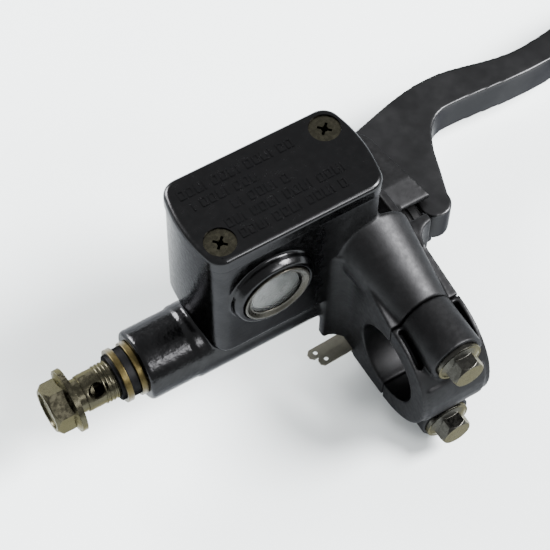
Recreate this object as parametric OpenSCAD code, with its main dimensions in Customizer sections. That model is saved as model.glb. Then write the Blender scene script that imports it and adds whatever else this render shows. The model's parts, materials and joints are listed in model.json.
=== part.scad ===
// Front brake master cylinder with reservoir, handlebar clamp, lever and light switch.
// Millimetres. The origin is the centre of the handlebar bore.
// +X runs outboard along the bar, +Y points forward, +Z is up.

/* [Handlebar clamp] */
// Handlebar diameter
bar_d = 22.2; // [20:0.1:26]
// Width of the clamp along the bar
clamp_w = 20.4; // [16:0.1:26]
// Thickness of the clamp ring
clamp_wall = 6.1; // [5:0.1:8]
// Gap between the bracket half and the cap
parting_gap = 0.3; // [0.2:0.1:1.5]
// Distance between the two clamp bolts
bolt_pitch = 31.4; // [30:0.1:38]
// Radius of the tube that houses each clamp bolt
bolt_boss_r = 7.4; // [6:0.1:9]
// Distance from the parting plane to the bolt seats
cap_depth = 14.6; // [12:0.1:18]
// Thread diameter of the clamp bolts
clamp_bolt_d = 6; // [5:1:6]
// Width across the flats of the clamp bolt heads
clamp_bolt_af = 8; // [8:0.5:10]
// Flange diameter of the clamp bolts
clamp_bolt_flange_d = 12.4; // [11:0.1:14]

/* [Arm] */
// Thickness of the raised edge on each side of the arm
cheek_w = 2.2; // [1.5:0.1:3]
// Drop from the raised edges to the web between them
cheek_step = 1.8; // [0.5:0.1:3]
// Height of the arm's inboard edge at the reservoir wall
arm_top = 26; // [22:0.1:28]
// Height of its outboard edge there
arm_top_out = 20.4; // [19:0.1:24]
// Height of the arm's underside beside the clamp
arm_bottom = -17.6; // [-19:0.1:-17]
// Height of the pad that carries the light switch
pad_z = -13; // [-15:0.1:-12]
// Radius of the arm's rounded back at the reservoir
arm_root_r = 10.4; // [9:0.1:12]
// Height of that radius's centre
arm_root_z = 23.8; // [21:0.1:26]
// Fillet between the arm and the reservoir's rear wall
arm_fillet = 5.6; // [3:0.1:8]

/* [Cylinder] */
// Distance of the cylinder axis in front of the bar axis
cyl_y = 31.3; // [30:0.1:34]
// Height of the cylinder axis above the bar axis
cyl_z = 1.7; // [0:0.1:4]
// Piston diameter
piston_d = 12.7; // [11:0.1:13]
// Radial running clearance of the piston
piston_gap = 0.03; // [0.02:0.01:0.08]
// Outside diameter of the barrel
barrel_d = 19.4; // [18.5:0.1:21]
// Outside diameter of the barrel below the reservoir
collar_d = 20.2; // [19.8:0.1:22]
// Position of the outlet face
outlet_x = -65.9; // [-70:0.1:-62]
// Position of the open mouth
mouth_x = 14.5; // [13.5:0.1:15]
// Diameter of the barrel at its mouth
mouth_d = 18.4; // [17.5:0.1:19]
// Bore of the mouth, where the boot sits
mouth_bore_d = 14.2; // [13.8:0.1:14.8]

/* [Reservoir] */
// Length of the reservoir over its curved ends
res_len = 50.8; // [50:0.1:60]
// Width of the reservoir
res_w = 26.6; // [26:0.1:30]
// Position of the reservoir's middle along the bar
res_x = -24.1; // [-27:0.1:-22]
// Position of its middle in front of the bar axis
res_y = 33.9; // [33:0.1:35]
// Height of its rim
rim_z = 45; // [42:0.5:54]
// Height of its underside
res_bottom = 6; // [5:0.1:8]
// How far each short end bows out
res_bulge = 2.4; // [1:0.1:3.5]
// Corner radius
res_corner = 4.4; // [3:0.1:6]
// Wall thickness
res_wall = 2.6; // [2.2:0.1:3.2]
// Height of the cavity floor
res_floor = 14.5; // [13.5:0.1:18]

/* [Lid] */
// Thickness of the lid
lid_h = 4.2; // [3:0.1:6]
// How far the lid overhangs the rim
lid_lip = 0.3; // [0.1:0.1:0.8]
// Distance of each screw from the reservoir's middle, lengthwise
screw_dx = 19.3; // [18:0.1:19.6]
// Distance of each screw from the reservoir's middle, across
screw_dy = 7.7; // [7:0.1:8.5]
// Thread diameter of the lid screws
lid_screw_d = 4; // [3:1:4]
// Height of the raised marks on the lid
mark_h = 0.2; // [0.1:0.1:0.5]

/* [Sight glass] */
// Position of the window along the bar
sight_x = -32.6; // [-34:0.1:-30]
// Height of the window
sight_z = 29.2; // [28:0.1:30]
// Diameter of the raised boss at the wall
sight_boss_d = 23; // [21:0.1:24]
// How far the boss stands out from the wall
sight_proud = 3.2; // [2:0.1:4]
// Outside diameter of the window's metal ring
sight_ring_d = 18.3; // [17:0.1:19]
// Diameter of the visible window
sight_view_d = 14.4; // [13:0.1:15]

/* [Lever] */
// Position of the pivot along the bar
pivot_x = 9.8; // [9.5:0.1:10.2]
// Distance of the pivot in front of the bar axis
pivot_y = 51.5; // [51:0.1:53]
// Diameter of the pivot shaft
pivot_d = 8; // [7:0.5:8.5]
// Radial running clearance of the lever on its pivot
pivot_gap = 0.05; // [0.03:0.01:0.08]
// Height of the lever
lever_h = 11; // [9:0.1:12]
// Gap between the lever and each ear
ear_gap = 0.3; // [0.2:0.1:0.5]
// Thickness of each ear
ear_h = 4.3; // [3.5:0.1:5]
// Radius of the ears around the pivot
ear_r = 10.4; // [9.5:0.1:11]
// Radius of the lever's eye
eye_r = 8.2; // [7.5:0.1:8.4]
// Radius of the lever's nose, which pushes the piston
nose_r = 4.6; // [4:0.1:5]
// Position of the ball end
tip_x = 168; // [150:1:185]
// Diameter of the ball end
ball_d = 15; // [13:0.1:18]

/* [Outlet fitting] */
// Diameter of the banjo bolt's thread
banjo_d = 10; // [9.6:0.1:10]
// Width across the flats of its head
banjo_af = 12; // [11:0.5:14]
// Flange diameter of its head
banjo_flange_d = 17.2; // [15:0.1:18]
// Visible length of its shank
banjo_reach = 18; // [15:0.1:20]
// Outside diameter of the sealing washers
washer_d = 14.8; // [14:0.1:15.5]
// Thickness of each sealing washer
washer_t = 1.7; // [1:0.1:2]
// Length of the black spacer between the washers
spacer_len = 2.4; // [1.5:0.1:4]

/* [Light switch] */
// Width of each terminal blade
blade_w = 3.1; // [2.8:0.1:3.3]
// Thickness of each terminal blade
blade_t = 0.6; // [0.5:0.1:0.8]
// Length of each blade outside the switch
blade_len = 12.4; // [11:0.1:14]
// Distance between the blades
blade_pitch = 3.5; // [3.4:0.1:4]
// Diameter of the switch plunger
plunger_d = 3.2; // [2.6:0.1:3.4]

/* [Hidden] */
$fn = 64;

eps = 0.01;
seat_gap = 0.05;
thread_gap = 0.05;
press_gap = 0.02;

// Countersunk head of the lid screws
head_rim = 0.4;
head_cone = 1.8;
head_recess = 0.45;

clamp_r = bar_d / 2 + clamp_wall;
bolt_z = bolt_pitch / 2;
clamp_bolt_hole_r = clamp_bolt_d / 2 + 0.3;
clamp_bolt_grip = 13;

bore_r = piston_d / 2;
bore_end_x = -44;
bore_open_x = 5.5;
port_depth = 12;

rear_wall_y = res_y - res_w / 2;
lid_top = rim_z + lid_h;
ledge_w = 1.2;
ledge_h = 1;

sight_face_y = rear_wall_y - sight_proud;

// Depths of the sight glass pieces behind the boss face
ring_back = 0.5;
lens_back = 1.4;
dish_back = 2.6;
seat_depth = 3.6;

lever_low = cyl_z - lever_h / 2;
lever_top = cyl_z + lever_h / 2;
upper_ear = lever_top + ear_gap;
lower_ear = lever_low - ear_gap - ear_h;
shaft_r = pivot_d / 2;

// Where the lever's nose meets the piston
contact_gap = 0.1;
piston_tip_x = 20.5;
nose_x = piston_tip_x + contact_gap + nose_r;

washer_x2 = outlet_x - washer_t;
washer_x1 = washer_x2 - spacer_len - washer_t;
flange_x = outlet_x - banjo_reach;

switch_top = pad_z;
switch_low = switch_top - 5.6;
switch_x0 = -clamp_w / 2 + cheek_w + 0.1;
switch_x1 = 11.5;
plunger_y = cyl_y + 1.7;
plunger_z = cyl_z - barrel_d / 2 - 3.2;
tang_x = nose_x - 1.9;
plunger_tip = tang_x - contact_gap;
blade_z = switch_top - 3;
blade_y = 18;
blade_turn = 2;
blade_step = 1.2;
blade_lag = 1.1;

// ---------- shared shapes ----------

// A plate with straight long sides, bowed ends and round corners, centred on the origin.
module tray(len, w, bulge, corner, h) {
    arc_r = (pow(w / 2, 2) + pow(bulge, 2)) / (2 * bulge);
    arc_c = len / 2 - arc_r;
    cy = w / 2 - corner;
    cx = arc_c + sqrt(pow(arc_r - corner, 2) - pow(cy, 2));
    band = arc_r * sin(atan2(cy, cx - arc_c));
    linear_extrude(h) union() {
        square([2 * cx, w], center = true);
        for (s = [-1, 1]) {
            intersection() {
                translate([s * arc_c, 0]) circle(arc_r, $fn = 180);
                translate([s * len / 4, 0]) square([len / 2, 2 * band], center = true);
            }
            for (t = [-1, 1]) translate([s * cx, t * cy]) circle(corner);
        }
    }
}

// The reservoir's outline, grown or shrunk by d, from height z0 up by h.
module res_tray(d, z0, h) {
    translate([res_x, res_y, z0])
        tray(res_len + 2 * d, res_w + 2 * d, res_bulge, max(res_corner + d, 1), h);
}

module along_x(x0, x1, r) {
    translate([x0, 0, 0]) rotate([0, 90, 0]) cylinder(r = r, h = x1 - x0);
}

module along_y(y0, y1, r) {
    translate([0, y0, 0]) rotate([-90, 0, 0]) cylinder(r = r, h = y1 - y0);
}

module on_cylinder_axis() {
    translate([0, cyl_y, cyl_z]) children();
}

module at_lid_screws() {
    for (s = [-1, 1]) translate([res_x + s * screw_dx, res_y + s * screw_dy, 0]) children();
}

module at_pivot(z) {
    translate([pivot_x, pivot_y, z]) children();
}

// Points of a cubic curve between a and d, pulled by b and c.
function curve(a, b, c, d, n) =
    [for (i = [0 : n]) let (t = i / n, u = 1 - t)
        u * u * u * a + 3 * u * u * t * b + 3 * u * t * t * c + t * t * t * d];

// ---------- casting ----------

module clamp_profile(y0, y1) {
    intersection() {
        along_x(-clamp_w / 2, clamp_w / 2, clamp_r);
        translate([-clamp_w, y0, -clamp_r - 1]) cube([2 * clamp_w, y1 - y0, 2 * clamp_r + 2]);
    }
}

// One slab of the arm in the YZ plane, inset by d from the raised edges.
// With pad set, its underside steps up to the light switch.
module arm_slab(x0, x1, d, y1, top, pad = true) {
    translate([x0, 0, 0]) rotate([90, 0, 90]) linear_extrude(x1 - x0)
        polygon([[parting_gap / 2, clamp_r - d], [rear_wall_y, top - d], [y1, top - d],
                 [y1, 0], [rear_wall_y + 3, pad_z], [13.4, pad ? pad_z : arm_bottom], [13.4, arm_bottom + d],
                 [parting_gap / 2, -clamp_r + d]]);
}

module arm() {
    side = clamp_w / 2;
    clamp_profile(parting_gap / 2, clamp_r);
    arm_slab(-side + cheek_w, side - cheek_w, cheek_step, rear_wall_y + 3, arm_top_out);
    arm_slab(-side, -side + cheek_w, 0, rear_wall_y + 3, arm_top, false);
    arm_slab(side - cheek_w, side, 0, cyl_y + 5, arm_top_out);
    hull() {
        translate([0, 0, bolt_z]) along_y(parting_gap / 2, 1, bolt_boss_r, $fn = 48);
        translate([side - cheek_w - arm_root_r, 0, arm_root_z])
            along_y(rear_wall_y, rear_wall_y + 1, arm_root_r, $fn = 48);
    }
    translate([0, 0, -bolt_z]) along_y(parting_gap / 2, clamp_bolt_grip + 1, bolt_boss_r - 0.4);
    for (s = [-1, 1]) arm_root(s, s > 0 ? arm_top_out : arm_top);
}

// The round inside corner where a side of the arm meets the reservoir and barrel.
module arm_root(s, top) {
    y0 = rear_wall_y - arm_fillet;
    difference() {
        translate([s > 0 ? clamp_w / 2 - 1 : -clamp_w / 2 - arm_fillet, y0, pad_z + 0.4])
            cube([arm_fillet + 1, arm_fillet + 2.5, top - pad_z - 0.8]);
        translate([s * (clamp_w / 2 + arm_fillet), y0, pad_z]) cylinder(r = arm_fillet, h = top - pad_z);
    }
}

module barrel() {
    on_cylinder_axis() {
        along_x(outlet_x + 0.6, 8, barrel_d / 2);
        rotate([0, 90, 0]) translate([0, 0, outlet_x])
            cylinder(r1 = barrel_d / 2 - 0.6, r2 = barrel_d / 2, h = 0.6);
        along_x(-52, -10, collar_d / 2);
        along_x(8 - eps, mouth_x, mouth_d / 2);
    }
}

module reservoir_shell() {
    corner_r = 7;
    difference() {
        res_tray(0, res_bottom, rim_z - res_bottom);
        // the far lower edge of the outlet end is rounded off
        translate([res_x - res_len / 2 - 1, rear_wall_y - 1, res_bottom - 1])
            difference() {
                cube([corner_r + 1, res_w + 2, corner_r + 1]);
                translate([corner_r + 1, -1, corner_r + 1]) rotate([-90, 0, 0])
                    cylinder(r = corner_r, h = res_w + 4);
            }
    }
}

// One ear of the lever's fork. The rear edge of the upper one is bevelled.
module ear(z0, x1) {
    rear = cyl_y + 0.9;
    translate([0, 0, z0]) linear_extrude(ear_h) union() {
        translate([pivot_x, pivot_y]) circle(ear_r);
        polygon([[-9, rear], [x1, rear], [x1 - 2, rear + 7], [pivot_x + ear_r - 0.1, pivot_y],
                 [pivot_x, pivot_y + ear_r - 0.1], [-3, pivot_y + 7.5], [-9, pivot_y + 2]]);
    }
}

module fork() {
    rear = cyl_y + 0.9;
    difference() {
        ear(upper_ear, 24.2);
        translate([0, rear, upper_ear + ear_h]) rotate([0, 90, 0]) linear_extrude(40)
            polygon([[-1, -1], [1.7, -1], [0, 7], [-1, 7]]);
    }
    difference() {
        ear(lower_ear, 14);
        // room for the switch's nose
        translate([12, rear - 1, lower_ear - 1]) cube([20, 6, ear_h + 2]);
    }
    translate([-9, cyl_y + 5, lower_ear]) cube([8, pivot_y - cyl_y - 2, upper_ear - lower_ear + ear_h]);
}

module bolt_holes(r, y0, y1) {
    for (s = [-1, 1]) translate([0, 0, s * bolt_z]) along_y(y0, y1, r);
}

module cylinder_body() {
    color("#1b1b1c") difference() {
        union() {
            difference() {
                union() {
                    reservoir_shell();
                    translate([sight_x, 0, sight_z]) {
                        rotate([-90, 0, 0]) translate([0, 0, sight_face_y])
                            cylinder(r1 = sight_boss_d / 2 - 1, r2 = sight_boss_d / 2, h = 1.6);
                        along_y(sight_face_y + 1.6 - eps, rear_wall_y + 1, sight_boss_d / 2);
                    }
                }
                res_tray(-res_wall, res_floor, rim_z);
            }
            intersection() {
                at_lid_screws() translate([0, 0, res_floor - 1])
                    cylinder(r = 4.3, h = rim_z - ledge_h - res_floor + 1);
                res_tray(-0.5, 0, rim_z);
            }
            barrel();
            arm();
            fork();
            // pad that the light switch is screwed to
            translate([-7, cyl_y - 8, switch_top]) cube([16, 6, 10]);
        }
        // ledge for the diaphragm
        res_tray(-ledge_w, rim_z - ledge_h, 2);
        at_lid_screws() translate([0, 0, rim_z - 15]) cylinder(r = lid_screw_d / 2, h = 20);
        // sight glass seat and opening
        translate([sight_x, 0, sight_z]) {
            along_y(sight_face_y - 1, sight_face_y + seat_depth, sight_ring_d / 2 + seat_gap);
            along_y(sight_face_y, rear_wall_y + res_wall + 1, sight_view_d / 2 - 0.6);
        }
        // stepped bore, outlet passage and thread
        on_cylinder_axis() {
            along_x(bore_end_x, mouth_x, bore_r);
            along_x(bore_open_x, piston_tip_x + 6, mouth_bore_d / 2);
            along_x(bore_open_x + 1.2, bore_open_x + 2.3, mouth_bore_d / 2 + 0.7);
            along_x(outlet_x - 1, bore_end_x + 1, 1.5);
            along_x(outlet_x - 1, outlet_x + port_depth, banjo_d / 2);
        }
        // feed and compensating ports
        translate([-5, cyl_y, cyl_z]) cylinder(r = 1.5, h = res_floor);
        translate([-15.5, cyl_y, cyl_z]) cylinder(r = 0.5, h = res_floor);
        translate([-15.5, cyl_y, cyl_z + bore_r + 1.5]) cylinder(r = 1.5, h = res_floor);
        // handlebar bore and clamp bolt threads
        along_x(-clamp_w, clamp_w, bar_d / 2);
        bolt_holes(clamp_bolt_d / 2, -1, clamp_bolt_grip);
        at_pivot(lower_ear - 1) cylinder(r = shaft_r + press_gap, h = 40);
        // thread for the switch screw
        translate([0, 18, switch_top - 1]) cylinder(r = 1.5, h = 8);
        // slots for the switch's blades
        at_blades() blade(4, 0.3);
    }
}

// Grooves that lighten the cap beside each bolt tube.
module pockets() {
    depth = 2.6;
    width = 1.5;
    for (sx = [-1, 1], sz = [-1, 1]) intersection() {
        translate([sx * (clamp_w / 2 - 1.4 - width / 2) - width / 2, 0, 0]) rotate([0, 90, 0])
            difference() {
                cylinder(r = clamp_r + 3, h = width);
                translate([0, 0, -1]) cylinder(r = clamp_r - depth, h = width + 2);
            }
        translate([-clamp_w, -cap_depth + 3.4, sz > 0 ? 8 : -28]) cube([2 * clamp_w, cap_depth - 4.6, 20]);
    }
}

module clamp_cap() {
    color("#232425") difference() {
        union() {
            clamp_profile(-clamp_r, -parting_gap / 2);
            for (s = [-1, 1]) translate([0, 0, s * bolt_z])
                along_y(-cap_depth, -parting_gap / 2, s > 0 ? bolt_boss_r : bolt_boss_r - 0.4);
            // flat pad between the bolt seats
            intersection() {
                translate([-clamp_w / 2 + 2, -clamp_r - 0.4, -8]) cube([clamp_w - 4, 4, 16]);
                along_x(-clamp_w, clamp_w, clamp_r + 0.5);
            }
        }
        along_x(-clamp_w, clamp_w, bar_d / 2);
        bolt_holes(clamp_bolt_hole_r, -cap_depth - 1, 1);
        // spot faces under the bolt flanges
        bolt_holes(clamp_bolt_flange_d / 2 + 0.5, -cap_depth - 10, -cap_depth);
        pockets();
    }
}

module flange_bolt() {
    head_h = 4.4;
    flange_h = 1.2;
    along_y(-flange_h, 0, clamp_bolt_flange_d / 2);
    translate([0, -flange_h + eps, 0]) rotate([90, 0, 0])
        cylinder(r1 = clamp_bolt_flange_d / 2 - 0.6, r2 = clamp_bolt_af / 2, h = 1);
    intersection() {
        rotate([90, 0, 0]) cylinder(r = clamp_bolt_af / sqrt(3), h = flange_h + head_h, $fn = 6);
        translate([0, -flange_h - head_h, 0]) rotate([-90, 0, 0])
            cylinder(r1 = clamp_bolt_af / 2 - 0.1, r2 = clamp_bolt_af / 2 + 4, h = flange_h + head_h);
    }
    along_y(-eps, cap_depth + clamp_bolt_grip - 1.5, clamp_bolt_d / 2 - thread_gap);
}

module clamp_bolts() {
    color("#6f6b5c") for (s = [-1, 1]) translate([0, -cap_depth, s * bolt_z]) flange_bolt();
}

// ---------- lid, screws and diaphragm ----------

module reservoir_lid() {
    head_r = lid_screw_d + seat_gap;
    color("#161617") difference() {
        union() {
            res_tray(lid_lip, rim_z, lid_h);
            lid_marks();
        }
        res_tray(-ledge_w - 0.4, rim_z - 1, 2);
        at_lid_screws() {
            translate([0, 0, rim_z - 1]) cylinder(r = lid_screw_d / 2 + 0.1, h = lid_h);
            screw_cone(lid_screw_d / 2, head_r);
            translate([0, 0, lid_top - head_recess - head_rim - eps]) cylinder(r = head_r, h = 2);
        }
    }
}

// The conical seat of a lid screw.
module screw_cone(r1, r2) {
    translate([0, 0, lid_top - head_recess - head_rim - head_cone]) cylinder(r1 = r1, r2 = r2, h = head_cone);
}

// Rows of small raised frames and bars that stand for a notice.
module lid_marks() {
    rows = 5;
    row_pitch = 4.1;
    mark_pitch = 2.3;
    mark_w = 1.8;
    tall = 2.7;
    stroke = 0.42;
    starts = [-21.5, -20, -11.5, -15.5, -14];
    counts = [14, 8, 7, 15, 13];
    for (i = [0 : rows - 1], j = [0 : counts[i] - 1]) {
        kind = (i * 5 + j * 7) % 4;
        w = kind == 1 ? stroke : mark_w;
        translate([res_x + starts[i] + j * mark_pitch,
                   res_y + (rows - 1) / 2 * row_pitch - i * row_pitch - tall / 2, lid_top - 0.2])
            difference() {
                cube([w, tall, mark_h + 0.2]);
                if (kind != 1) translate([stroke, stroke, -1])
                    cube([mark_w - 2 * stroke, kind == 2 ? tall : tall - 2 * stroke, 3]);
            }
    }
}

module lid_screw() {
    head_r = lid_screw_d;
    top = lid_top - head_recess;
    difference() {
        union() {
            translate([0, 0, top - head_rim - eps]) cylinder(r = head_r, h = head_rim + eps);
            screw_cone(lid_screw_d / 2 - seat_gap, head_r);
            translate([0, 0, rim_z - 13]) cylinder(r = lid_screw_d / 2 - thread_gap, h = top - rim_z + 12);
        }
        // cross recess
        for (a = [45, 135]) rotate([0, 0, a]) translate([-1.9, -0.36, top - 0.6]) cube([3.8, 0.72, 3]);
        translate([0, 0, top - 1.2]) cylinder(r1 = 0.4, r2 = 0.9, h = 1.21);
    }
}

module lid_screws() {
    color("#8a8558") at_lid_screws() lid_screw();
}

module diaphragm() {
    inset = ledge_w + 0.15;
    skin = 1;
    drop = 8;
    color("#2a2a2b") difference() {
        union() {
            res_tray(-inset, rim_z - ledge_h, ledge_h - 0.02);
            diaphragm_cup(0, rim_z - drop, drop - 0.1);
        }
        diaphragm_cup(-skin, rim_z - drop + skin, drop);
        at_lid_screws() translate([0, 0, rim_z - 3]) cylinder(r = lid_screw_d / 2 + 0.6, h = 5);
    }
}

// The bellows sits between the two screw bosses.
module diaphragm_cup(d, z0, h) {
    translate([res_x, res_y, z0 + h / 2])
        cube([2 * screw_dx - 10.6 + 2 * d, res_w - 2 * res_wall - 1.4 + 2 * d, h], center = true);
}

module diaphragm_plate() {
    inset = ledge_w + 0.5;
    color("#d8d4c4") difference() {
        res_tray(-inset, rim_z, 0.9);
        translate([res_x, res_y, rim_z]) cube([2 * screw_dx - 12, res_w - 11, 6], center = true);
        at_lid_screws() translate([0, 0, rim_z - 3]) cylinder(r = lid_screw_d / 2 + 0.6, h = 5);
    }
}

// Thin plate over the ports in the cavity floor, with a hole for the fluid.
module splash_guard() {
    color("#b9b9b4") translate([-11.5, cyl_y + 1.2, res_floor]) difference() {
        union() {
            for (s = [-1, 1]) translate([s * 8, 0, 0.9]) cube([1.4, 9, 1.8], center = true);
            translate([0, 0, 2.2]) cube([17.4, 9, 0.8], center = true);
        }
        translate([0, 0, 1]) cylinder(r = 1.6, h = 3);
    }
}

// ---------- sight glass ----------

module sight_ring() {
    color("#c9c6bd") translate([sight_x, sight_face_y, sight_z]) difference() {
        along_y(-0.35, ring_back, sight_ring_d / 2);
        rotate([-90, 0, 0]) translate([0, 0, -0.36])
            cylinder(r1 = sight_ring_d / 2 - 0.5, r2 = sight_view_d / 2 + 0.4, h = 0.6);
        along_y(-1, 3, sight_view_d / 2);
    }
}

module sight_lens() {
    color("#c8ccd0") translate([sight_x, sight_face_y, sight_z])
        along_y(ring_back, lens_back, sight_ring_d / 2 - 0.2);
}

module sight_seal() {
    color("#222222") translate([sight_x, sight_face_y, sight_z]) difference() {
        along_y(dish_back, seat_depth, sight_ring_d / 2 - 0.2);
        along_y(2, 4, sight_view_d / 2);
    }
}

module sight_reflector() {
    color("#a5a7a8") translate([sight_x, sight_face_y, sight_z]) difference() {
        along_y(lens_back, dish_back, sight_ring_d / 2 - 0.2);
        // shallow dish with a step round it
        along_y(lens_back - 1, lens_back + 0.2, sight_view_d / 2 - 0.6);
        rotate([-90, 0, 0]) translate([0, 0, lens_back]) cylinder(r1 = sight_view_d / 2 - 1.4, r2 = 3, h = 0.8);
    }
}

// ---------- piston stack ----------

rod_r = 4;
shoulder_x = bore_open_x - 0.1;
front_x = -9.5;

module piston() {
    land_r = bore_r - piston_gap;
    color("#9a9c9e") on_cylinder_axis() {
        along_x(front_x, front_x + 2.5, land_r);
        along_x(front_x + 2, shoulder_x - 4, bore_r - 2);
        along_x(shoulder_x - 1.9, shoulder_x, land_r);
        along_x(shoulder_x - 8, shoulder_x - 5.9, land_r);
        along_x(shoulder_x - 4.2, piston_tip_x - 1, rod_r);
        translate([piston_tip_x - 1 - eps, 0, 0]) rotate([0, 90, 0])
            cylinder(r1 = rod_r, r2 = rod_r - 0.6, h = 1 + eps);
        along_x(front_x - 4.5, front_x + eps, 2.4);
    }
}

// A cup seal whose lip opens towards the outlet.
module cup(x0, x1, inner) {
    on_cylinder_axis() difference() {
        along_x(x0, x1, bore_r - 0.02);
        along_x(x0 - 1, x1 + 1, inner);
        translate([x0 - eps, 0, 0]) rotate([0, 90, 0])
            cylinder(r1 = bore_r - 0.6, r2 = inner + 0.6, h = 1.6);
    }
}

module primary_cup() {
    color("#262626") cup(front_x - 3.5, front_x - press_gap, 2.4 + press_gap);
}

module secondary_cup() {
    color("#262626") cup(shoulder_x - 5.9 + press_gap, shoulder_x - 1.9 - press_gap, bore_r - 2 + press_gap);
}

// Round wire wound between the bore's end and the primary cup.
module return_spring() {
    turns = 9;
    wire = 1;
    mean_r = 4.6;
    x0 = bore_end_x + wire / 2 + 0.05;
    x1 = front_x - 3.6 - wire / 2 - 0.05;
    sides = 8;
    steps = turns * 18;
    ring = [for (i = [0 : steps], k = [0 : sides - 1])
        let (t = i / steps, a = 360 * turns * t, b = 360 * k / sides,
             r = mean_r + wire / 2 * cos(b))
        [x0 + (x1 - x0) * t + wire / 2 * sin(b), r * cos(a), r * sin(a)]];
    walls = [for (i = [0 : steps - 1], k = [0 : sides - 1])
        let (n = (k + 1) % sides)
        [i * sides + k, i * sides + n, (i + 1) * sides + n, (i + 1) * sides + k]];
    color("#8d8f92") on_cylinder_axis() polyhedron(ring,
        concat(walls, [[for (k = [sides - 1 : -1 : 0]) k]], [[for (k = [0 : sides - 1]) steps * sides + k]]));
}

module stop_washer() {
    color("#8d8f92") on_cylinder_axis() difference() {
        along_x(bore_open_x, bore_open_x + 1.1, mouth_bore_d / 2 - 0.1);
        along_x(0, mouth_x, rod_r + 0.4);
    }
}

module snap_ring() {
    color("#6d6e70") on_cylinder_axis() difference() {
        along_x(bore_open_x + 1.25, bore_open_x + 2.25, mouth_bore_d / 2 + 0.6);
        along_x(0, mouth_x, mouth_bore_d / 2 - 1.6);
        translate([0, -1.5, -mouth_bore_d]) cube([mouth_x, 3, mouth_bore_d]);
    }
}

// The rubber boot around the piston's end.
module dust_boot() {
    x0 = bore_open_x + 2.5;
    x1 = piston_tip_x - 0.8;
    outer = mouth_bore_d / 2 - 0.15;
    color("#2c2c2e") on_cylinder_axis() difference() {
        union() {
            along_x(x0, x1 - 1, outer);
            translate([x1 - 1 - eps, 0, 0]) rotate([0, 90, 0]) cylinder(r1 = outer, r2 = outer - 0.9, h = 1);
        }
        along_x(x0 - 1, x1 - 1.4, outer - 1.4);
        along_x(0, piston_tip_x + 1, rod_r + 0.1);
        for (i = [0 : 1]) rotate([0, 90, 0]) translate([0, 0, x0 + 5.2 + i * 3]) rotate_extrude()
            translate([outer + 0.35, 0]) circle(0.8);
    }
}

// ---------- lever ----------

half_blade = 5.5;

// Middle line of the blade: level at each of these turning points.
blade_x = [46, 73, 106, 150, 185];
blade_mid = [61.2, 58.3, 61.6, 55.6, 58.5];
blade_half = [half_blade, 4.1, 4.2, 4.2, 4.2];

function ease(v, i, x) =
    v[i] + (v[i + 1] - v[i]) * (1 - cos(180 * (x - blade_x[i]) / (blade_x[i + 1] - blade_x[i]))) / 2;
function span(x) = x < blade_x[1] ? 0 : x < blade_x[2] ? 1 : x < blade_x[3] ? 2 : 3;
function mid(x) = ease(blade_mid, span(x), x);
function half(x) = ease(blade_half, span(x), x);

module lever_outline() {
    end_x = tip_x - ball_d / 4;
    steps = 44;
    xs = [for (i = [0 : steps]) blade_x[0] + (end_x - blade_x[0]) * i / steps];
    front_edge = [for (x = xs) [x, mid(x) + half(x)]];
    rear_edge = [for (i = [steps : -1 : 0]) [xs[i], mid(xs[i]) - half(xs[i])]];
    knuckle = [blade_x[0], blade_mid[0]];
    back = curve([pivot_x + 2, pivot_y + eye_r], [pivot_x + 12, pivot_y + eye_r + 1.5],
                 [knuckle[0] - 12, knuckle[1] + half_blade], knuckle + [0, half_blade], 10);
    web = curve(knuckle - [0, half_blade], knuckle - [6.5, half_blade], [36.6, 50], [34.4, 45], 10);
    polygon(concat(back, front_edge, rear_edge, web,
        [[32, 38], [nose_x + nose_r - 0.1, cyl_y + 0.4], [nose_x, cyl_y],
         [nose_x - nose_r + 0.1, cyl_y + 0.6], [nose_x - nose_r + 0.7, cyl_y + 5], [19.4, 41], [pivot_x + 4, pivot_y - eye_r + 1.6],
         [pivot_x, pivot_y]]));
    translate([pivot_x, pivot_y]) circle(eye_r);
    translate([nose_x, cyl_y]) circle(nose_r);
}

module lever() {
    tang_w = 5;
    color("#2d2d2e") difference() {
        union() {
            translate([0, 0, lever_low]) linear_extrude(lever_h) lever_outline();
            translate([tip_x, mid(tip_x), cyl_z]) intersection() {
                sphere(r = ball_d / 2);
                cube([ball_d, ball_d, lever_h + 1.6], center = true);
            }
            // tang that works the light switch
            translate([tang_x, cyl_y - 0.1, plunger_z - plunger_d / 2 - 0.4])
                cube([3.2, tang_w, lever_low - plunger_z + plunger_d / 2 + 1]);
        }
        at_pivot(lever_low - 1) cylinder(r = shaft_r + pivot_gap, h = lever_h + 2);
    }
}

module pivot_bolt() {
    head_h = 3.6;
    z1 = upper_ear + ear_h;
    color("#77746a") {
        at_pivot(lower_ear) cylinder(r = shaft_r, h = z1 - lower_ear + eps);
        at_pivot(z1) cylinder(r1 = 6.3, r2 = 5.6, h = 1.2);
        at_pivot(z1 + 1) intersection() {
            cylinder(r = 10 / sqrt(3), h = head_h - 1, $fn = 6);
            cylinder(r1 = 8, r2 = 4.9, h = head_h - 1);
        }
        at_pivot(lower_ear - 7.5) cylinder(r = 3 - thread_gap, h = 8);
    }
}

module pivot_nut() {
    nut_h = 6;
    color("#77746a") at_pivot(lower_ear - nut_h - press_gap) difference() {
        union() {
            cylinder(r = 10 / sqrt(3), h = nut_h, $fn = 6);
            translate([0, 0, nut_h - 1.2]) cylinder(r = 6.4, h = 1.2);
        }
        translate([0, 0, -1]) cylinder(r = 3, h = nut_h + 2);
    }
}

// ---------- outlet fitting ----------

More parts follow.
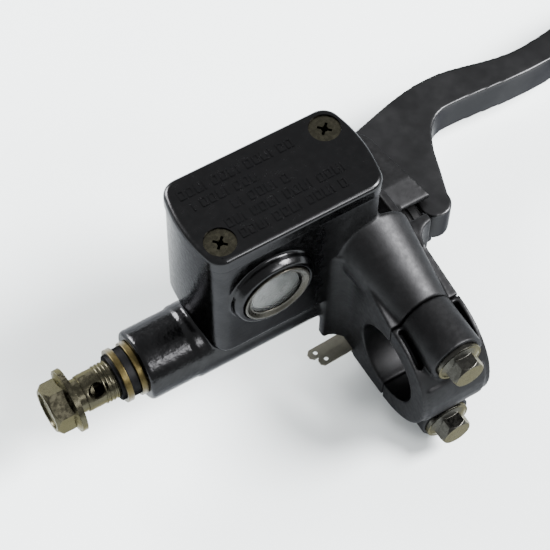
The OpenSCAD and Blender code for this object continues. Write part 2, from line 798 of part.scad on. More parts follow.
module banjo_bolt() {
    head_h = 5.6;
    flange_h = 1.5;
    waist = 2.6;
    head_dish = 0.5;
    head_wall = 1.2;
    tip_at = outlet_x + port_depth - 1.5;
    hole_x = flange_x + 6;
    thread_r = banjo_d / 2 - thread_gap;
    color("#6b6753") on_cylinder_axis() difference() {
        union() {
            along_x(flange_x - flange_h, flange_x, banjo_flange_d / 2);
            translate([flange_x - flange_h + eps, 0, 0]) rotate([0, -90, 0])
                cylinder(r1 = banjo_flange_d / 2 - 0.5, r2 = banjo_af / 2, h = 1);
            intersection() {
                translate([flange_x - flange_h, 0, 0]) rotate([0, -90, 0])
                    cylinder(r = banjo_af / sqrt(3), h = head_h, $fn = 6);
                translate([flange_x - flange_h, 0, 0]) rotate([0, -90, 0])
                    cylinder(r1 = banjo_af / 2 + 5, r2 = banjo_af / 2 - 0.3, h = head_h);
            }
            along_x(flange_x - eps, flange_x + waist, thread_r - 0.35);
            along_x(flange_x + waist - eps, tip_at, thread_r);
        }
        // cross hole with a countersink, and the passage to the tip
        translate([hole_x, 0, 0]) rotate([-50, 0, 0]) {
            along_y(-8, 0, 1.8);
            rotate([90, 0, 0]) translate([0, 0, thread_r - 0.9]) cylinder(r1 = 1.8, r2 = 3, h = 1.2);
        }
        along_x(hole_x, tip_at + 1, 1.6);
        // dished head
        along_x(flange_x - flange_h - head_h - 1, flange_x - flange_h - head_h + head_dish,
                banjo_af / 2 - head_wall);
    }
}

module sealing_washers() {
    color("#a88f4e") on_cylinder_axis() for (x = [washer_x1, washer_x2]) difference() {
        along_x(x, x + washer_t, washer_d / 2);
        along_x(x - 1, x + washer_t + 1, banjo_d / 2 + 1.3);
    }
}

// Plastic sleeve that keeps both washers on the bolt.
module washer_spacer() {
    r0 = banjo_d / 2 + press_gap;
    r1 = banjo_d / 2 + 1.3 - press_gap;
    color("#1d1d1d") on_cylinder_axis() difference() {
        union() {
            along_x(washer_x1 - 0.9, outlet_x, r1);
            along_x(washer_x1 + washer_t + press_gap, washer_x2 - press_gap, washer_d / 2 - 0.7);
        }
        along_x(washer_x1 - 2, outlet_x + 1, r0);
    }
}

// ---------- light switch ----------

// The inboard blade sits a little higher and further out than the other.
module at_blades() {
    translate([switch_x0, blade_y, blade_z]) rotate([0, 0, blade_turn]) for (s = [-0.5, 0.5])
        translate([-s * blade_lag, s * blade_pitch, -s * blade_step]) children();
}

module blade(reach, extra) {
    inner = 3;
    translate([-reach, -blade_w / 2 - extra, -blade_t / 2 - extra])
        cube([reach + inner + extra, blade_w + 2 * extra, blade_t + 2 * extra]);
}

module switch_body() {
    y0 = 14;
    y1 = plunger_y + 4;
    riser_y = cyl_y - 1.6;
    color("#202122") difference() {
        union() {
            translate([switch_x0, y0, switch_low]) cube([switch_x1 - switch_x0, y1 - y0, switch_top - switch_low]);
            translate([switch_x0, riser_y, switch_low])
                cube([switch_x1 - switch_x0, y1 - riser_y, plunger_z + 2.4 - switch_low]);
            translate([switch_x1 - 1, plunger_y, plunger_z]) along_x(0, 5, plunger_d / 2 + 1);
        }
        at_blades() blade(1, press_gap);
        translate([switch_x1 - 8, plunger_y, plunger_z]) along_x(0, 20, plunger_d / 2 + seat_gap);
        translate([0, 18, switch_low - 1]) cylinder(r = 1.7, h = 20);
        translate([-8, cyl_y - 9, switch_top]) cube([18, 7.1, 10]);
    }
}

module switch_screw() {
    color("#8a8558") translate([0, 18, 0]) {
        translate([0, 0, switch_low - 2]) difference() {
            cylinder(r = 2.9, h = 2 - press_gap);
            for (a = [0, 90]) rotate([0, 0, a]) translate([-1.7, -0.35, -1]) cube([3.4, 0.7, 2.2]);
        }
        translate([0, 0, switch_low - press_gap - eps]) cylinder(r = 1.5 - thread_gap, h = 11);
    }
}

module switch_terminals() {
    chamfer = 0.9;
    hole_r = 0.6;
    half = blade_w / 2;
    color("#b4b19b") at_blades() translate([0, 0, -blade_t / 2]) linear_extrude(blade_t) difference() {
        polygon([[-blade_len, -half + chamfer], [-blade_len + chamfer, -half], [3, -half], [3, half],
                 [-blade_len + chamfer, half], [-blade_len, half - chamfer]]);
        translate([-blade_len + 2.2, 0]) circle(hole_r);
    }
}

module switch_plunger() {
    color("#d9d6cd") translate([0, plunger_y, plunger_z]) {
        along_x(switch_x1 - 2.4, plunger_tip - 1, plunger_d / 2);
        translate([plunger_tip - 1 - eps, 0, 0]) rotate([0, 90, 0])
            cylinder(r1 = plunger_d / 2, r2 = plunger_d / 2 - 0.7, h = 1);
    }
}

cylinder_body();
clamp_cap();
clamp_bolts();
reservoir_lid();
lid_screws();
diaphragm();
diaphragm_plate();
splash_guard();
sight_ring();
sight_lens();
sight_seal();
sight_reflector();
piston();
primary_cup();
secondary_cup();
return_spring();
stop_washer();
snap_ring();
dust_boot();
lever();
pivot_bolt();
pivot_nut();
banjo_bolt();
sealing_washers();
washer_spacer();
switch_body();
switch_screw();
switch_terminals();
switch_plunger();
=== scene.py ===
import json
import math

import bpy
from bpy.props import FloatProperty, FloatVectorProperty, IntProperty, PointerProperty
from mathutils import Matrix, Vector

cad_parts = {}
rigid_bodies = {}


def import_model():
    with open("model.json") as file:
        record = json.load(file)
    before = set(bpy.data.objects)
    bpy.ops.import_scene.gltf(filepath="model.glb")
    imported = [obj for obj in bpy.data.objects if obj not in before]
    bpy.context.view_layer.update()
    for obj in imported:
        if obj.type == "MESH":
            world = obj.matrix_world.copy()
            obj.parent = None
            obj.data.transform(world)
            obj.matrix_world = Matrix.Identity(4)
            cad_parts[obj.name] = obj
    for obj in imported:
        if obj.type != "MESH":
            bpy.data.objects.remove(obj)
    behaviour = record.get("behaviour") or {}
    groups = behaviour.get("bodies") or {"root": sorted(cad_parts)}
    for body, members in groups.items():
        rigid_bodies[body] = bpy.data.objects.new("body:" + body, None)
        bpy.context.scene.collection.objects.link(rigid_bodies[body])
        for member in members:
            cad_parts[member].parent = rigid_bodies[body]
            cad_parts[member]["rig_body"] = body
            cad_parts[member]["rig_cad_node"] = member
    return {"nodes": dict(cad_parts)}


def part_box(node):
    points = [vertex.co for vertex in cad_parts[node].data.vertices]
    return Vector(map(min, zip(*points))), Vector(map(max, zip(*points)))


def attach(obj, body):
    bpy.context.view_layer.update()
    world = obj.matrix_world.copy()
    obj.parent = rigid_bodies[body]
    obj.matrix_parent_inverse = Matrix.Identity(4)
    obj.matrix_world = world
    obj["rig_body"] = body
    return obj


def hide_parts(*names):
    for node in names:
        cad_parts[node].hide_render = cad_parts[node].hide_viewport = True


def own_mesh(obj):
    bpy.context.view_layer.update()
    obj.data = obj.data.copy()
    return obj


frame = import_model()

bl_info = {
    "name": "Brake master cylinder",
    "version": (1, 0, 0),
    "blender": (4, 5, 0),
    "location": "View3D > Sidebar > Brake",
    "description": "Builds the looks of a brake master cylinder around its CAD solids, and its stage",
    "category": "Object",
}

MERGE_DISTANCE = 1e-6
FLAT_ANGLE = math.radians(0.5)
SMOOTH_ANGLE = math.radians(32)
LEVEL = 1e-5
UPRIGHT = 0.1             # largest upward part of a side face's normal
MOST_TRIANGLES = 190000   # in one piece
CAP_DETAIL = 0.8          # the cap's remeshed faces over the casting's
MOTTLE_ENDS = (0.42, 0.72)
ROUGHNESS_ENDS = (0.3, 0.7)
BUMP_DEPTH = 1 / 8        # of the bump's size


# ---------- properties ----------

def length(name, description, default):
    return FloatProperty(name=name, description=description, default=default, min=0.0, soft_max=0.2,
                         precision=5, unit="LENGTH")


def factor(name, description, default, top=1.0):
    return FloatProperty(name=name, description=description, default=default, min=0.0, max=top)


def colour(name, description, default):
    return FloatVectorProperty(name=name, description=description, default=default, size=3, min=0.0,
                               max=1.0, subtype="COLOR")


def point(name, description, default):
    return FloatVectorProperty(name=name, description=description, default=default, size=3, unit="LENGTH")


def ends(name, description, default):
    return FloatVectorProperty(name=name, description=description, default=default, size=2, unit="LENGTH")


def turn(name, description, degrees):
    return FloatProperty(name=name, description=description, default=math.radians(degrees), unit="ROTATION")


class PaintSettings(bpy.types.PropertyGroup):
    """Black paint on the casting, cap and lid"""
    tone: colour("Paint", "Reflectance of the black paint", (0.019, 0.019, 0.0197))
    dust: colour("Dust", "Colour of the thin spots in the paint", (0.024, 0.024, 0.025))
    gloss: factor("Roughness", "Roughness of the paint", 0.22)
    peel_size: length("Peel size", "Size of the paint's orange peel", 0.0013)
    peel: factor("Peel depth", "Strength of the orange peel", 0.16)
    grain: factor("Grain", "Strength of the orange peel at the outlet end", 0.6)
    grain_ends: ends("Grain ends", "Where along X the grain starts and is full", (-0.046, -0.054))
    dull: factor("Dull arm", "Extra roughness of the paint on the clamp arm", 0.25)
    dull_ends: ends("Dull ends", "Where along X the dull paint starts and is full", (-0.020, -0.012))
    edge: colour("Edge", "Reflectance of the paint seen edge on", (0.56, 0.56, 0.57))
    lid_gloss: factor("Lid roughness", "Roughness of the lid's paint", 0.24)
    lever_tone: colour("Lever", "Reflectance of the lever's satin paint", (0.034, 0.034, 0.0352))
    lever_gloss: factor("Lever roughness", "Roughness of the lever's paint", 0.34)


class MetalSettings(bpy.types.PropertyGroup):
    """Plated and turned metals"""
    zinc: colour("Zinc", "Colour of the olive zinc plate", (0.048, 0.045, 0.033))
    bolt: colour("Clamp bolts", "Colour of the clamp bolts' plate", (0.040, 0.039, 0.035))
    zinc_dark: colour("Dark zinc", "Colour of the darker zinc plate", (0.046, 0.043, 0.030))
    brass: colour("Washer", "Colour of the sealing washers", (0.056, 0.043, 0.015))
    tin: colour("Tin", "Colour of the switch blades", (0.14, 0.137, 0.11))
    ring: colour("Ring", "Colour of the sight glass ring", (0.030, 0.028, 0.023))
    plate_gloss: factor("Roughness", "Roughness of the zinc plate", 0.28)
    plate_edge: colour("Edge", "Reflectance of the plate seen edge on", (0.60, 0.58, 0.50))


class CastingSettings(bpy.types.PropertyGroup):
    """Cylinder, reservoir, arm and fork"""
    voxel: length("Detail", "Size of the remeshed faces", 0.00042)
    rounding: IntProperty(name="Rounding", description="Smoothing passes over the edges", default=5, min=0)


class LidSettings(bpy.types.PropertyGroup):
    """Reservoir lid and its screws"""
    rim: length("Rim", "Rounding of the lid's upper edge", 0.0014)
    fine: length("Fine edges", "Rounding of the raised marks and the screw seats", 0.00009)
    skirt: length("Skirt", "Height that only the lid's outer side faces have", 0.003)
    screw_bevel: length("Screw bevel", "Rounding of the screw heads", 0.00018)


class LeverSettings(bpy.types.PropertyGroup):
    """Brake lever"""
    voxel: length("Detail", "Size of the remeshed faces", 0.00042)
    rounding: IntProperty(name="Rounding", description="Smoothing passes over the lever's edges", default=10)


class FastenerSettings(bpy.types.PropertyGroup):
    """Clamp bolts, pivot bolt and nut"""
    bevel: length("Bevel", "Rounding of the hexagons' edges", 0.0003)


class OutletSettings(bpy.types.PropertyGroup):
    """Banjo bolt, washers and spacer"""
    bevel: length("Bevel", "Rounding of the bolt's edges", 0.0003)
    thread_pitch: length("Thread pitch", "Distance between the visible turns of thread", 0.001)
    thread_turns: IntProperty(name="Turns", description="Visible turns of thread", default=4, min=1)
    thread_start: factor("First turn", "Place of the first turn, in pitches", 0.6)
    thread_radius: length("Thread radius", "Radius of the middle of the turns", 0.00495)
    thread_depth: length("Thread depth", "Radius of the turns' section", 0.00028)
    thread_lean: turn("Lean", "Slope of the turns", 2)


class WindowSettings(bpy.types.PropertyGroup):
    """Sight glass"""
    bevel: length("Bevel", "Rounding of the ring's edges", 0.0003)


class SwitchSettings(bpy.types.PropertyGroup):
    """Light switch"""
    bevel: length("Bevel", "Rounding of the housing's edges", 0.0005)


class InnerSettings(bpy.types.PropertyGroup):
    """Piston, seals, spring and boot"""
    bevel: length("Bevel", "Rounding of the small parts' edges", 0.00015)


class StageSettings(bpy.types.PropertyGroup):
    """Camera, lights and floor"""
    aim: point("Aim", "Point the camera looks at", (-0.02723, 0.02712, 0.01956))
    azimuth: turn("Azimuth", "Camera's direction round the object", -32.9)
    elevation: turn("Elevation", "Camera's height angle", 58.47)
    roll: turn("Roll", "Camera's turn about its own axis", 1.77)
    distance: length("Distance", "Camera's distance from the aim", 0.46)
    lens: FloatProperty(name="Lens", description="Focal length in millimetres", default=120.27)
    floor: colour("Floor", "Colour of the floor", (0.84, 0.885, 0.888))
    floor_height: FloatProperty(name="Floor height", description="Height of the floor below the bar",
                                default=-0.0231, unit="LENGTH")
    floor_tilt: FloatVectorProperty(name="Floor slope", description="Rise of the floor along X and Y",
                                    default=(0.059, 0.136), size=2)
    key: factor("Key", "Power of the soft light over the front", 7.5, 1000.0)
    key_place: point("Key place", "Middle of the key light", (0.3, -0.77, 0.69))
    key_size: length("Key size", "Width of the key light", 0.36)
    side: factor("Side", "Power of the low light at the back", 70.0, 1000.0)
    side_place: point("Side place", "Middle of the light at the back", (-0.45, 1.12, 0.6))
    side_size: length("Side size", "Width of the light at the back", 0.7)
    fill: factor("Fill", "Power of the light at the right", 64.0, 1000.0)
    fill_place: point("Fill place", "Middle of the light at the right", (0.75, -0.4, 0.85))
    fill_size: length("Fill size", "Width of the light at the right", 0.5)
    sky_colour: colour("Sky colour", "Colour of the light from all round", (0.97, 0.985, 1.0))
    sky: factor("Sky", "Strength of the light from all round", 0.8, 5.0)


# ---------- mesh helpers ----------

def only(*objs):
    """Selects just these objects and makes the first one active."""
    if bpy.context.object and bpy.context.object.mode != "OBJECT":
        bpy.ops.object.mode_set(mode="OBJECT")
    bpy.ops.object.select_all(action="DESELECT")
    for o in objs:
        o.select_set(True)
    bpy.context.view_layer.objects.active = objs[0]


def edit(obj, *steps):
    """Runs each step in edit mode with the whole mesh selected first."""
    only(obj)
    bpy.ops.object.mode_set(mode="EDIT")
    bpy.ops.mesh.select_all(action="SELECT")
    for step in steps:
        step()
    bpy.ops.object.mode_set(mode="OBJECT")


def clean(obj):
    """Merges a CAD copy's split corners and turns its faces outward."""
    edit(obj, lambda: bpy.ops.mesh.remove_doubles(threshold=MERGE_DISTANCE),
         lambda: bpy.ops.mesh.dissolve_limited(angle_limit=FLAT_ANGLE),
         lambda: bpy.ops.mesh.normals_make_consistent(inside=False))


def copy_of(node, name):
    """A merged copy of a CAD node that stands for it and rides on its body."""
    source = frame["nodes"][node]
    body = source["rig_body"]
    only(source)
    bpy.ops.object.duplicate()
    obj = bpy.context.object
    obj.parent = None
    obj.matrix_world = Matrix.Identity(4)
    del obj["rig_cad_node"]
    obj.name = obj.data.name = name
    clean(obj)
    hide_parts(node)
    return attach(obj, body)


def apply(obj, kind, **values):
    """Adds a modifier, sets it and applies it."""
    only(obj)
    modifier = obj.modifiers.new(kind.title(), kind)
    for key, value in values.items():
        setattr(modifier, key, value)
    bpy.ops.object.modifier_apply(modifier=modifier.name)


def cast(obj, voxel, rounding):
    """Remeshes a solid and rounds its edges, as a casting's are."""
    apply(obj, "REMESH", mode="VOXEL", voxel_size=voxel, use_smooth_shade=True)
    apply(obj, "SMOOTH", factor=0.5, iterations=rounding)
    triangles = 2 * len(obj.data.polygons)
    if triangles > MOST_TRIANGLES:
        apply(obj, "DECIMATE", ratio=MOST_TRIANGLES / triangles)
    only(obj)
    bpy.ops.object.shade_smooth()


def bevel(obj, width, segments=3, angle=25):
    """Rounds the sharp edges of a machined piece."""
    apply(obj, "BEVEL", width=width, segments=segments, limit_method="ANGLE",
          angle_limit=math.radians(angle), use_clamp_overlap=True, harden_normals=False)
    only(obj)
    bpy.ops.object.shade_smooth_by_angle(angle=SMOOTH_ANGLE)
    apply(obj, "WEIGHTED_NORMAL", weight=100, keep_sharp=True)


def pick_tall(obj, tall):
    """Goes to edit mode and selects the upper edges of the side faces taller than that."""
    only(obj)
    bpy.ops.object.mode_set(mode="EDIT")
    bpy.ops.mesh.select_all(action="DESELECT")
    bpy.ops.mesh.select_mode(type="EDGE")
    bpy.ops.object.mode_set(mode="OBJECT")
    mesh = obj.data
    heights = [v.co.z for v in mesh.vertices]
    wanted = set()
    for face in mesh.polygons:
        levels = [heights[i] for i in face.vertices]
        if max(levels) - min(levels) > tall and abs(face.normal.z) < UPRIGHT:
            wanted.update(pair for pair in face.edge_keys
                          if min(heights[i] for i in pair) > max(levels) - LEVEL)
    for edge in mesh.edges:
        edge.select = tuple(sorted(edge.vertices)) in wanted
    bpy.ops.object.mode_set(mode="EDIT")


def join(first, *others):
    only(first, *others)
    bpy.ops.object.join()
    return first


def at(node):
    """(lowest corner, highest corner, middle) of a CAD node."""
    low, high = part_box(node)
    return low, high, (low + high) / 2


# ---------- materials ----------

def surface(name, base, second, rough, spread, mottle, metal=0.0, bumps=(), grain=None, dull=None,
            **extra):
    """A mottled procedural material in Object coordinates.

    rough and spread are the middle and half the range of its roughness, and mottle is the size
    of its spots. bumps is a list of (size, strength). grain is (x from, x to, strength) and
    strengthens the first bump between those places along X. dull is (x from, x to, extra
    roughness). extra sets other inputs of the shader.
    """
    made = bpy.data.materials.new(name)
    made.use_nodes = True
    nodes = made.node_tree.nodes
    link = made.node_tree.links.new
    shader = nodes["Principled BSDF"]
    shader.inputs["Metallic"].default_value = metal
    for key, value in extra.items():
        shader.inputs[key.replace("_", " ")].default_value = value
    coord = nodes.new("ShaderNodeTexCoord").outputs["Object"]

    def ranged(source, before, after):
        grade = nodes.new("ShaderNodeMapRange")
        for key, value in zip(("From Min", "From Max", "To Min", "To Max"), (*before, *after)):
            grade.inputs[key].default_value = value
        link(source, grade.inputs["Value"])
        return grade.outputs["Result"]

    def along_x(places, values):
        split = nodes.new("ShaderNodeSeparateXYZ")
        link(coord, split.inputs["Vector"])
        return ranged(split.outputs["X"], places, values)

    def noise(size, detail):
        texture = nodes.new("ShaderNodeTexNoise")
        texture.inputs["Scale"].default_value = 1.0 / size
        texture.inputs["Detail"].default_value = detail
        link(coord, texture.inputs["Vector"])
        return texture.outputs["Fac"]

    mix = nodes.new("ShaderNodeMix")
    mix.data_type = "RGBA"
    mix.inputs["A"].default_value = (*base, 1.0)
    mix.inputs["B"].default_value = (*second, 1.0)
    link(ranged(noise(mottle, 5.0), MOTTLE_ENDS, (0.0, 1.0)), mix.inputs["Factor"])
    link(mix.outputs["Result"], shader.inputs["Base Color"])
    roughness = ranged(noise(mottle / 3, 3.0), ROUGHNESS_ENDS,
                       (max(0.02, rough - spread), min(1.0, rough + spread)))
    if dull:
        total = nodes.new("ShaderNodeMath")
        link(roughness, total.inputs[0])
        link(along_x(dull[:2], (0.0, dull[2])), total.inputs[1])
        roughness = total.outputs["Value"]
    link(roughness, shader.inputs["Roughness"])
    normal = None
    for size, strength in bumps:
        bump = nodes.new("ShaderNodeBump")
        bump.inputs["Strength"].default_value = strength
        bump.inputs["Distance"].default_value = size * BUMP_DEPTH
        link(noise(size, 2.0), bump.inputs["Height"])
        if grain and normal is None:
            link(along_x(grain[:2], (strength, grain[2])), bump.inputs["Strength"])
        if normal:
            link(normal, bump.inputs["Normal"])
        normal = bump.outputs["Normal"]
    if normal:
        link(normal, shader.inputs["Normal"])
    return made


def coated(name, base, second, edge, **values):
    """A dark coat that reflects base face on and edge at a grazing angle."""
    return surface(name, base, second, metal=1.0, Specular_Tint=(*edge, 1.0), **values)


def paint(obj, made):
    """Gives obj one material."""
    obj.data.materials.clear()
    obj.data.materials.append(made)
    return obj


def shared(name, maker):
    """The material of that name, made once."""
    return bpy.data.materials.get(name) or maker(name)


def black_paint(name):
    s = bpy.context.scene.bmc_paint
    return coated(name, s.tone, s.dust, s.edge, rough=s.gloss, spread=0.05, mottle=0.004,
                  bumps=((s.peel_size, s.peel), (s.peel_size / 4, s.peel / 3)),
                  grain=(*s.grain_ends, s.grain), dull=(*s.dull_ends, s.dull))


def lid_paint(name):
    s = bpy.context.scene.bmc_paint
    return coated(name, [c * 1.2 for c in s.tone], s.dust, s.edge, rough=s.lid_gloss, spread=0.04,
                  mottle=0.005, bumps=((0.0011, 0.06),))


def lever_paint(name):
    s = bpy.context.scene.bmc_paint
    return coated(name, s.lever_tone, [c * 1.3 for c in s.lever_tone], [c * 0.7 for c in s.edge],
                  rough=s.lever_gloss, spread=0.04, mottle=0.012, bumps=((0.0006, 0.04),))


def plated(name, tone, share, strength):
    """Zinc plate. Its darker spots keep that share of the tone, and strength is its bumps'."""
    s = bpy.context.scene.bmc_metal
    return coated(name, tone, [c * share for c in tone], s.plate_edge, rough=s.plate_gloss, spread=0.1,
                  mottle=0.003, bumps=((0.0008, strength),))


def zinc(name):
    return plated(name, bpy.context.scene.bmc_metal.zinc, 0.9, 0.05)


def dark_zinc(name):
    return plated(name, bpy.context.scene.bmc_metal.zinc_dark, 0.88, 0.06)


def bolt_plate(name):
    return plated(name, bpy.context.scene.bmc_metal.bolt, 0.85, 0.06)


def brass(name):
    s = bpy.context.scene.bmc_metal
    return surface(name, s.brass, [c * 0.75 for c in s.brass], rough=0.36, spread=0.08, mottle=0.002,
                   metal=0.9, bumps=((0.0005, 0.05),))


def tin(name):
    s = bpy.context.scene.bmc_metal
    return surface(name, s.tin, [c * 0.8 for c in s.tin], rough=0.5, spread=0.08, mottle=0.002, metal=0.2)


def bright_ring(name):
    s = bpy.context.scene.bmc_metal
    return surface(name, s.ring, [c * 0.85 for c in s.ring], rough=0.3, spread=0.06, mottle=0.002,
                   metal=0.95)


def steel(name):
    return surface(name, (0.42, 0.42, 0.43), (0.34, 0.34, 0.35), rough=0.3, spread=0.08, mottle=0.002,
                   metal=1.0)


def rubber(name):
    return coated(name, (0.012, 0.012, 0.0125), (0.016, 0.016, 0.016), (0.3, 0.3, 0.3), rough=0.62,
                  spread=0.08, mottle=0.002, bumps=((0.0004, 0.1),))


def black_plastic(name):
    return coated(name, (0.010, 0.010, 0.0105), (0.013, 0.013, 0.0135), (0.35, 0.35, 0.35), rough=0.5,
                  spread=0.06, mottle=0.002, bumps=((0.0003, 0.1),))


def pale_plastic(name):
    return surface(name, (0.62, 0.59, 0.50), (0.55, 0.52, 0.43), rough=0.45, spread=0.05, mottle=0.004)


def reflector(name):
    return surface(name, (0.038, 0.036, 0.031), (0.030, 0.028, 0.024), rough=0.34, spread=0.06,
                   mottle=0.0025, metal=0.8)


def clear(name):
    return surface(name, (0.93, 0.95, 0.96), (0.90, 0.93, 0.95), rough=0.05, spread=0.02, mottle=0.006,
                   Transmission_Weight=1.0, IOR=1.2)


def floor_paint(name):
    base = bpy.context.scene.bmc_stage.floor
    return surface(name, base, [c * 0.985 for c in base], rough=0.55, spread=0.05, mottle=0.09)


# ---------- operators ----------

class Build(bpy.types.Operator):
    """Builds one group of pieces"""
    bl_idname = "bmc.build"
    bl_label = "Build"
    bl_options = {"REGISTER", "UNDO"}

    def execute(self, context):
        self.build(context.scene)
        return {"FINISHED"}


class BMC_OT_casting(Build):
    """Remesh the casting with rounded edges and paint it"""
    bl_idname = "bmc.casting"
    bl_label = "Casting"

    def build(self, scene):
        s = scene.bmc_casting
        obj = copy_of("cylinder_body", "casting")
        cast(obj, s.voxel, s.rounding)
        paint(obj, shared("black_paint", black_paint))


class BMC_OT_cap(Build):
    """Remesh the clamp cap and paint it"""
    bl_idname = "bmc.cap"
    bl_label = "Clamp cap"

    def build(self, scene):
        s = scene.bmc_casting
        obj = copy_of("clamp_cap", "cap")
        cast(obj, s.voxel * CAP_DETAIL, s.rounding)
        paint(obj, shared("black_paint", black_paint))


class BMC_OT_lid(Build):
    """Round the lid and its raised marks, and bevel its screws"""
    bl_idname = "bmc.lid"
    bl_label = "Lid"

    def build(self, scene):
        s = scene.bmc_lid
        obj = copy_of("reservoir_lid", "lid")
        pick_tall(obj, s.skirt)
        bpy.ops.mesh.bevel(offset=s.rim, segments=5, clamp_overlap=False)
        bpy.ops.object.mode_set(mode="OBJECT")
        bevel(obj, s.fine, 2, 40)
        paint(obj, shared("lid_paint", lid_paint))
        screws = copy_of("lid_screws", "lid_screw_pair")
        bevel(screws, s.screw_bevel, 2)
        paint(screws, shared("zinc", zinc))


class BMC_OT_lever(Build):
    """Round the lever's edges and paint it"""
    bl_idname = "bmc.lever"
    bl_label = "Lever"

    def build(self, scene):
        s = scene.bmc_lever
        obj = copy_of("lever", "lever_blade")
        cast(obj, s.voxel, s.rounding)
        paint(obj, shared("lever_paint", lever_paint))


class BMC_OT_fasteners(Build):
    """Bevel and plate the clamp bolts, the pivot bolt and its nut"""
    bl_idname = "bmc.fasteners"
    bl_label = "Fasteners"

    def build(self, scene):
        s = scene.bmc_fasteners
        for node in ("clamp_bolts", "pivot_bolt", "pivot_nut"):
            obj = copy_of(node, node + "_plated")
            bevel(obj, s.bevel)
            paint(obj, shared("bolt_plate", bolt_plate))


class BMC_OT_outlet(Build):
    """Bevel the banjo bolt and washers, and add the visible thread"""
    bl_idname = "bmc.outlet"
    bl_label = "Outlet fitting"

    def build(self, scene):
        s = scene.bmc_outlet
        bolt = copy_of("banjo_bolt", "banjo_bolt_plated")
        bevel(bolt, s.bevel)
        paint(bolt, shared("dark_zinc", dark_zinc))
        low, _, middle = at("washer_spacer")
        rings = []
        for i in range(s.thread_turns):
            bpy.ops.mesh.primitive_torus_add(
                major_segments=64, minor_segments=10, major_radius=s.thread_radius,
                minor_radius=s.thread_depth,
                location=(low.x - (i + s.thread_start) * s.thread_pitch, middle.y, middle.z),
                rotation=(0, math.radians(90) + s.thread_lean, 0))
            rings.append(bpy.context.object)
        thread = join(*rings)
        thread.name = thread.data.name = "banjo_thread"
        only(thread)
        bpy.ops.object.transform_apply(location=True, rotation=True, scale=True)
        bpy.ops.object.shade_smooth()
        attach(paint(thread, shared("dark_zinc", dark_zinc)), "body")
        washers = copy_of("sealing_washers", "washer_pair")
        bevel(washers, s.bevel * 0.6)
        paint(washers, shared("brass", brass))
        spacer = copy_of("washer_spacer", "spacer")
        bevel(spacer, s.bevel)
        paint(spacer, shared("black_plastic", black_plastic))


class BMC_OT_window(Build):
    """Ring, lens, seal and reflector of the sight glass"""
    bl_idname = "bmc.window"
    bl_label = "Sight glass"

    def build(self, scene):
        s = scene.bmc_window
        for node, made, slot, width in (
                ("sight_ring", bright_ring, "ring_alu", s.bevel),
                ("sight_seal", rubber, "rubber_black", s.bevel / 3),
                ("sight_reflector", reflector, "reflector_grey", s.bevel / 3),
                ("sight_lens", clear, "lens_clear", s.bevel / 3)):
            obj = copy_of(node, node.replace("sight", "window"))
            bevel(obj, width)
            paint(obj, shared(made.__name__, made))


class BMC_OT_switch(Build):
    """Housing, blades, screw and plunger of the light switch"""
    bl_idname = "bmc.switch"
    bl_label = "Light switch"

    def build(self, scene):
        s = scene.bmc_switch
        for node, name, made, slot, width in (
                ("switch_body", "switch_housing", black_plastic, "plastic_black", s.bevel),
                ("switch_screw", "switch_housing_screw", zinc, "zinc_olive", s.bevel / 3),
                ("switch_terminals", "switch_blades", tin, "tin_blade", s.bevel / 5),
                ("switch_plunger", "switch_button", pale_plastic, "plunger_nylon", s.bevel / 3)):
            obj = copy_of(node, name)
            bevel(obj, width)
            paint(obj, shared(made.__name__, made))


class BMC_OT_inner(Build):
    """Piston, seals, spring, boot and the pieces under the lid"""
    bl_idname = "bmc.inner"
    bl_label = "Inner parts"

    def build(self, scene):
        s = scene.bmc_inner
        for node, made, slot in (
                ("piston", steel, "piston_alu"), ("primary_cup", rubber, "rubber_black"),
                ("secondary_cup", rubber, "rubber_black"), ("stop_washer", steel, "steel_plain"),
                ("snap_ring", steel, "spring_steel"), ("diaphragm", rubber, "rubber_black"),
                ("diaphragm_plate", pale_plastic, "plate_nylon"), ("splash_guard", steel, "guard_steel")):
            obj = copy_of(node, node + "_part")
            bevel(obj, s.bevel)
            paint(obj, shared(made.__name__, made))
        spring = copy_of("return_spring", "return_coil")
        paint(spring, shared("steel", steel))
        only(spring)
        bpy.ops.object.shade_smooth()
        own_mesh(spring)
        boot = copy_of("dust_boot", "boot")
        bevel(boot, s.bevel * 2)
        paint(boot, shared("rubber", rubber))
        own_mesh(boot)


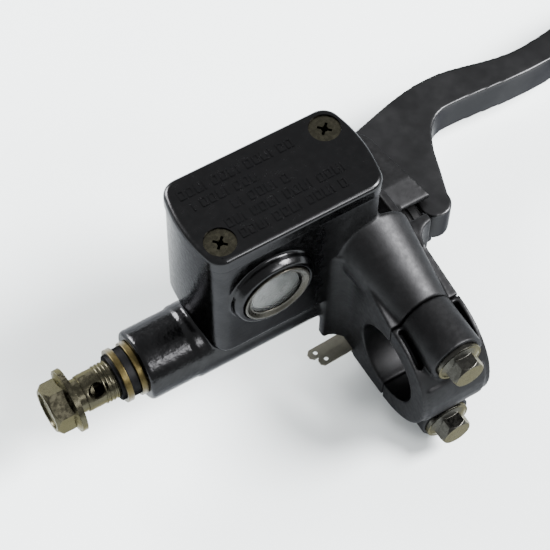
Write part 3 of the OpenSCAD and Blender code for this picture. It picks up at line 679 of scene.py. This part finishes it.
class BMC_OT_stage(Build):
    """Floor, lights and camera"""
    bl_idname = "bmc.stage"
    bl_label = "Stage"

    def build(self, scene):
        s = scene.bmc_stage
        up = Vector((-s.floor_tilt[0], -s.floor_tilt[1], 1)).normalized()
        bpy.ops.object.select_all(action="DESELECT")
        bpy.ops.mesh.primitive_plane_add(size=6, location=(0, 0, s.floor_height))
        floor = bpy.context.object
        floor.name = floor.data.name = "floor"
        floor.rotation_mode = "QUATERNION"
        floor.rotation_quaternion = up.to_track_quat("Z", "Y")
        paint(floor, shared("floor_paint", floor_paint))
        for name, place, size, power in (("key_light", s.key_place, s.key_size, s.key),
                                         ("back_light", s.side_place, s.side_size, s.side),
                                         ("right_light", s.fill_place, s.fill_size, s.fill)):
            bpy.ops.object.light_add(type="AREA", location=place)
            light = bpy.context.object
            light.name = name
            light.data.shape = "DISK"
            light.data.size = size
            light.data.energy = power
            light.rotation_mode = "QUATERNION"
            light.rotation_quaternion = (Vector(s.aim) - Vector(place)).to_track_quat("-Z", "Y")
        world = scene.world or bpy.data.worlds.new("soft_sky")
        scene.world = world
        world.use_nodes = True
        background = world.node_tree.nodes["Background"]
        background.inputs["Color"].default_value = (*s.sky_colour, 1.0)
        background.inputs["Strength"].default_value = s.sky
        a, e = s.azimuth, s.elevation
        back = Vector((math.sin(a) * math.cos(e), -math.cos(a) * math.cos(e), math.sin(e)))
        bpy.ops.object.camera_add(location=Vector(s.aim) + back * s.distance)
        camera = bpy.context.object
        camera.name = "camera"
        camera.rotation_mode = "QUATERNION"
        camera.rotation_quaternion = (-back).to_track_quat("-Z", "Y") @ \
            Matrix.Rotation(s.roll, 4, "Z").to_quaternion()
        camera.data.lens = s.lens
        camera.data.clip_start = 0.01
        camera.data.clip_end = 20
        scene.camera = camera


class BMC_PT_panel(bpy.types.Panel):
    """Settings and buttons for each group of pieces"""
    bl_idname = "BMC_PT_panel"
    bl_label = "Brake master cylinder"
    bl_space_type = "VIEW_3D"
    bl_region_type = "UI"
    bl_category = "Brake"

    def draw(self, context):
        for title, prop, operator in GROUPS:
            box = self.layout.box()
            box.label(text=title)
            if prop:
                settings = getattr(context.scene, prop)
                for key in type(settings).__annotations__:
                    box.prop(settings, key)
            if operator:
                box.operator(operator)


GROUPS = (
    ("Paint", "bmc_paint", None), ("Metals", "bmc_metal", None),
    ("Casting", "bmc_casting", "bmc.casting"), ("Clamp cap", None, "bmc.cap"),
    ("Lid", "bmc_lid", "bmc.lid"), ("Lever", "bmc_lever", "bmc.lever"),
    ("Fasteners", "bmc_fasteners", "bmc.fasteners"), ("Outlet fitting", "bmc_outlet", "bmc.outlet"),
    ("Sight glass", "bmc_window", "bmc.window"), ("Light switch", "bmc_switch", "bmc.switch"),
    ("Inner parts", "bmc_inner", "bmc.inner"), ("Stage", "bmc_stage", "bmc.stage"))

SETTINGS = {
    "bmc_paint": PaintSettings, "bmc_metal": MetalSettings, "bmc_casting": CastingSettings,
    "bmc_lid": LidSettings, "bmc_lever": LeverSettings, "bmc_fasteners": FastenerSettings,
    "bmc_outlet": OutletSettings, "bmc_window": WindowSettings, "bmc_switch": SwitchSettings,
    "bmc_inner": InnerSettings, "bmc_stage": StageSettings}

CLASSES = (BMC_OT_casting, BMC_OT_cap, BMC_OT_lid, BMC_OT_lever, BMC_OT_fasteners, BMC_OT_outlet,
           BMC_OT_window, BMC_OT_switch, BMC_OT_inner, BMC_OT_stage, BMC_PT_panel)


def register():
    for name, kind in SETTINGS.items():
        bpy.utils.register_class(kind)
        setattr(bpy.types.Scene, name, PointerProperty(type=kind))
    for kind in CLASSES:
        bpy.utils.register_class(kind)


def unregister():
    for kind in reversed(CLASSES):
        bpy.utils.unregister_class(kind)
    for name, kind in reversed(SETTINGS.items()):
        delattr(bpy.types.Scene, name)
        bpy.utils.unregister_class(kind)


def main():
    register()
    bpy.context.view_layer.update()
    for _, _, operator in GROUPS:
        if operator:
            group, name = operator.split(".")
            getattr(getattr(bpy.ops, group), name)()
    bpy.context.view_layer.update()


if __name__ == "__main__":
    main()
